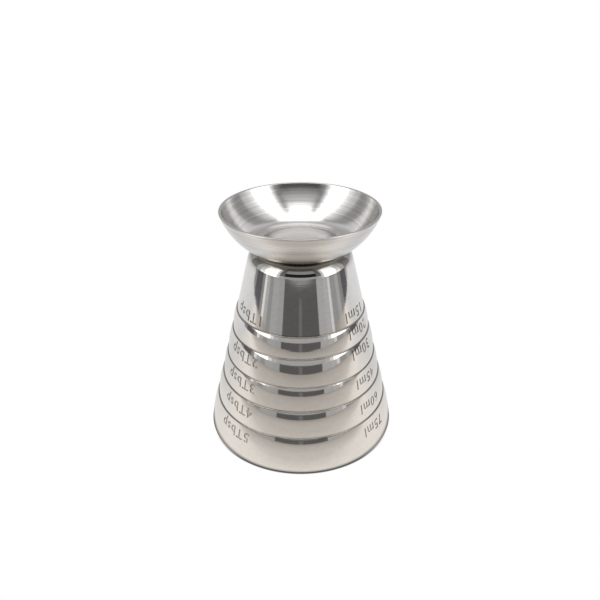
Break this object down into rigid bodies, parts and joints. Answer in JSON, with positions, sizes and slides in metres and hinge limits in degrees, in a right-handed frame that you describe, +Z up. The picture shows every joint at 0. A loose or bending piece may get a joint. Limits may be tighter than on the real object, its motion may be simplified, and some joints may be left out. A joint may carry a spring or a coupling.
{
  "type": "bar jigger",
  "caption": "Stepped conical steel measuring cup, standing mouth down, with a shallow flared dish brazed to its closed end.",
  "frame": {"origin": "centre of the cup's mouth, in the plane that the jigger stands on", "axes": "+Z up along the axis of both vessels, from the cup's mouth to the dish; the part is round about it"},
  "size_m": [0.063, 0.063, 0.077],
  "materials": {
    "polished_steel": "mirror-polished stainless steel outside, fine turned finish inside",
    "satin_steel": "satin stainless steel with fine turned lines round the axis",
    "braze_metal": "dull braze metal, darkened by heat"
  },
  "bodies": {
    "root": {"measuring_cup": "polished_steel", "braze_joint": "braze_metal", "foot_dish": "satin_steel"}
  },
  "joints": []
}
